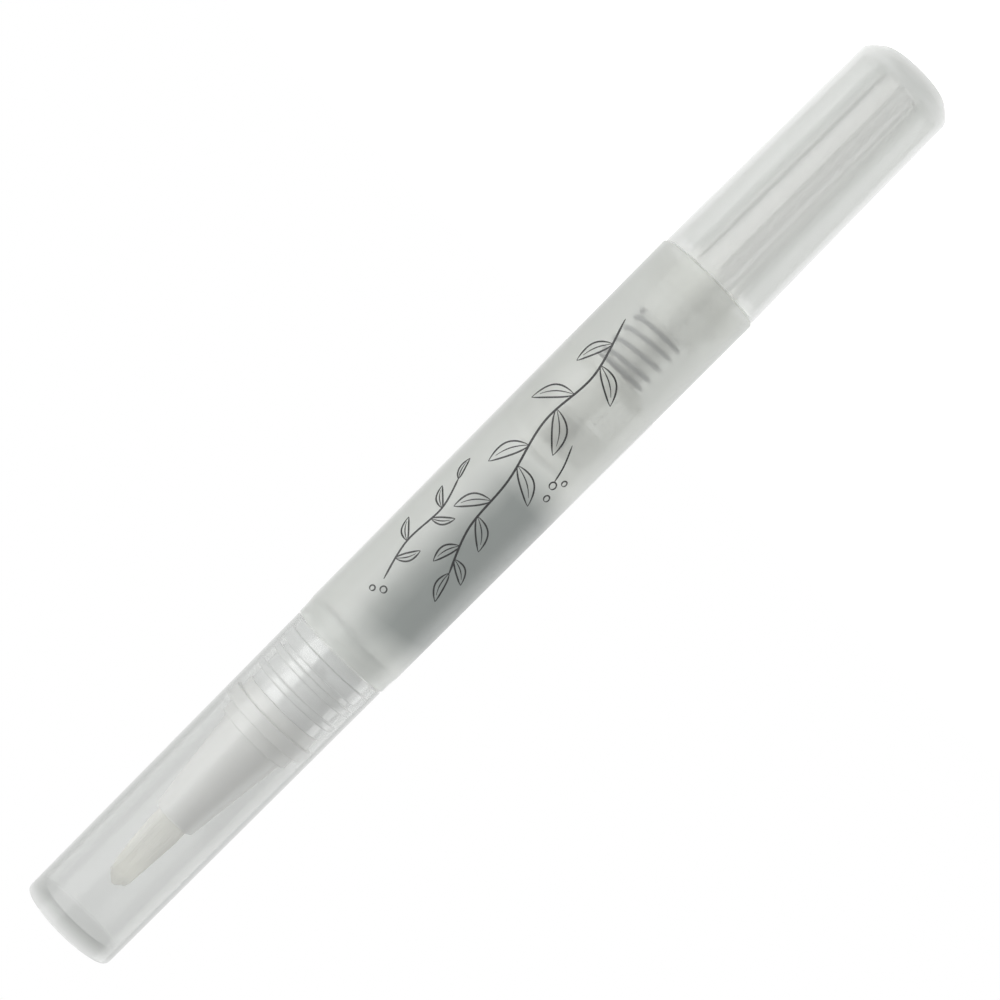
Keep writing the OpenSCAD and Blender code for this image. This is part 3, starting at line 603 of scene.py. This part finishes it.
def sprig_print():
    """Two leafy stems, a few berries and a short twig as ink lines, in millimetres."""
    edge_ink, vein_ink, berry_ink, twig_ink = 0.19, 0.13, 0.17, 0.18
    points, faces = [], []

    def leaf(root, angle, length, half_width, bend):
        c, s = math.cos(angle), math.sin(angle)

        def place(u, v):
            v += bend * length * math.sin(math.pi * u / length)
            return (root[0] + u * c - v * s, root[1] + u * s + v * c)

        for half in (half_width, -half_width):
            edge = [place(length * t, half * math.sin(math.pi * t) ** 0.8 * (1 - 0.25 * t))
                    for t in [i / 14 for i in range(15)]]
            ink_line(points, faces, edge, edge_ink)
        vein = [place(length * t, 0) for t in [i / 10 for i in range(9)]]
        ink_line(points, faces, vein, vein_ink)

    def berry(centre, r):
        outline = [(centre[0] + r * math.cos(a), centre[1] + r * math.sin(a))
                   for a in [2 * math.pi * i / 16 for i in range(17)]]
        ink_line(points, faces, outline, berry_ink)

    def stem(corners, leaves, width=0.24):
        """Each leaf is its share of the stem, its angle from it, its length and its half width."""
        line = curve_points(corners, 12)
        ink_line(points, faces, line, width)
        for share, turn, length, wide in leaves:
            i = min(int(share * (len(line) - 1)), len(line) - 2)
            ahead = math.atan2(line[i + 1][1] - line[i][1], line[i + 1][0] - line[i][0])
            leaf(line[i], ahead + turn, length, wide, bend=0.10 if turn > 0 else -0.10)

    stem([(40.5, 3.6), (47, 1.6), (54, 1.9), (61, 0.2), (67.5, -0.4), (72.5, -2.4)],
         [(0.10, 0.75, 4.2, 0.75), (0.17, -0.80, 4.4, 0.8), (0.29, 0.70, 4.8, 0.85),
          (0.36, -0.75, 4.9, 0.9), (0.49, 0.72, 4.6, 0.85), (0.56, -0.78, 4.5, 0.85),
          (0.69, 0.70, 4.0, 0.75), (0.76, -0.72, 3.8, 0.75), (0.88, 0.66, 3.2, 0.6),
          (0.92, -0.62, 3.1, 0.6), (0.999, 0.05, 3.4, 0.6)])
    stem([(77.5, 2.2), (73.0, 3.4), (68.0, 3.2), (64.5, 4.4)],
         [(0.22, 0.8, 2.8, 0.5), (0.34, -0.8, 2.9, 0.5), (0.58, 0.75, 2.6, 0.45),
          (0.68, -0.75, 2.7, 0.45), (0.999, 0.0, 2.6, 0.42)], width=0.21)
    for centre, r in (((58.2, -3.7), 0.42), ((59.6, -4.3), 0.36), ((57.2, -4.6), 0.32),
                      ((78.3, 1.4), 0.36), ((79.0, 2.4), 0.30)):
        berry(centre, r)
    ink_line(points, faces, curve_points([(53.8, -2.0), (56.0, -3.0), (57.8, -3.5)], 8), twig_ink)
    return points, faces


black_ink = plastic("black_ink", (0.035, 0.035, 0.036), (0.015, 0.015, 0.016), 0.45, grain=12000.0,
                    spread=0.2, flow=0.2, bump=0.0, ior=1.5)
new_piece("sprig_print", *sprig_print(), "barrel", black_ink, smooth=False)


# Stage: a plain pale floor under the pen and an even white studio round it. The camera, the gloss and
# the clear parts see both as white, and the light that they give the pen stays lower.

def stage_floor():
    """The floor, which the camera sees as white with the pen's shadow on it."""
    glow_to_camera, glow_in_gloss = 0.75, 0.45
    bpy.ops.mesh.primitive_plane_add(size=1.6, location=(0, 0, 0))
    floor = bpy.context.object
    floor.name = "floor"
    material, tree, out = new_material("floor_white")
    link = tree.links.new
    matte = node(tree, "ShaderNodeBsdfDiffuse", Color=(0.9, 0.9, 0.9, 1))
    ray = node(tree, "ShaderNodeLightPath")
    through = maths(tree, "MAXIMUM", ray.outputs["Is Glossy Ray"], ray.outputs["Is Transmission Ray"])
    through = maths(tree, "MULTIPLY", through, glow_in_gloss)
    seen = maths(tree, "MULTIPLY_ADD", ray.outputs["Is Camera Ray"], glow_to_camera, through)
    seen = maths(tree, "MULTIPLY", seen, maths(tree, "LESS_THAN", ray.outputs["Diffuse Depth"], 0.5))
    glow = node(tree, "ShaderNodeEmission", Color=(1, 1, 1, 1))
    link(seen, glow.inputs["Strength"])
    both = node(tree, "ShaderNodeAddShader")
    link(matte.outputs["BSDF"], both.inputs[0])
    link(glow.outputs["Emission"], both.inputs[1])
    link(both.outputs["Shader"], out.inputs["Surface"])
    floor.data.materials.append(material)


stage_floor()

even_light = 0.36
world = bpy.data.worlds.new("studio")
bpy.context.scene.world = world
world.use_nodes = True
tree = world.node_tree
tree.nodes.clear()
out = tree.nodes.new("ShaderNodeOutputWorld")
ray = node(tree, "ShaderNodeLightPath")
seen = maths(tree, "MAXIMUM", ray.outputs["Is Camera Ray"], ray.outputs["Is Transmission Ray"])
seen = maths(tree, "MAXIMUM", seen, ray.outputs["Is Glossy Ray"])
seen = maths(tree, "MULTIPLY", seen, maths(tree, "LESS_THAN", ray.outputs["Diffuse Depth"], 0.5))
sky = node(tree, "ShaderNodeBackground", Color=(1, 1, 1, 1))
tree.links.new(maths(tree, "MULTIPLY_ADD", seen, 1 - even_light, even_light), sky.inputs["Strength"])
tree.links.new(sky.outputs["Background"], out.inputs["Surface"])


# Lamps: three soft boxes, the key on the photograph's right, a weaker fill on the left and one above.

def lamp(name, place, width, length, power, along=(0, 0, 1)):
    """A soft box at place that faces the pen's middle. Its length runs as near as it can to the line
    along. It lights the pen and shows in its gloss, but isn't seen straight through the clear parts."""
    data = bpy.data.lights.new(name, "AREA")
    data.shape = "RECTANGLE"
    data.size, data.size_y = width, length
    data.energy = power
    lit = bpy.data.objects.new(name, data)
    lit.visible_camera = False
    lit.visible_transmission = False
    bpy.context.scene.collection.objects.link(lit)
    pen_middle = Vector((0, 0, 0.06))
    back = (Vector(place) - pen_middle).normalized()
    up = Vector(along) - back * Vector(along).dot(back)
    up.normalize()
    side = up.cross(back)
    lit.matrix_world = Matrix((side, up, back)).transposed().to_4x4()
    lit.matrix_world.translation = Vector(place)


lamp("key", (0.36, -0.36, 0.10), 0.42, 0.5, 2.0)
lamp("fill", (-0.43, 0.18, 0.08), 0.30, 0.5, 1.0)
lamp("top", (0.05, 0.1, 0.6), 0.4, 0.4, 0.9, along=(1, 0, 0))


# Camera: at the photograph's angle, level, square to the pen and rolled so that the cap points down
# to the left. Its view is 106.3 mm wide at the pen.

distance, view_width = 0.2992, 0.1063
camera_data = bpy.data.cameras.new("camera")
camera_data.sensor_width = 36.0
camera_data.lens = camera_data.sensor_width * distance / view_width
camera_data.clip_start, camera_data.clip_end = 0.01, 10.0
camera = bpy.data.objects.new("camera", camera_data)
bpy.context.scene.collection.objects.link(camera)
up = Vector((0.70574, 0.0, -0.70847)).normalized()
back = Vector((0.0, -1.0, 0.0))
side = up.cross(back)
camera.matrix_world = Matrix((side, up, back)).transposed().to_4x4()
camera.matrix_world.translation = Vector((-0.00063, -distance, 0.06313))
bpy.context.scene.camera = camera
bpy.context.scene.view_settings.view_transform = "Standard"
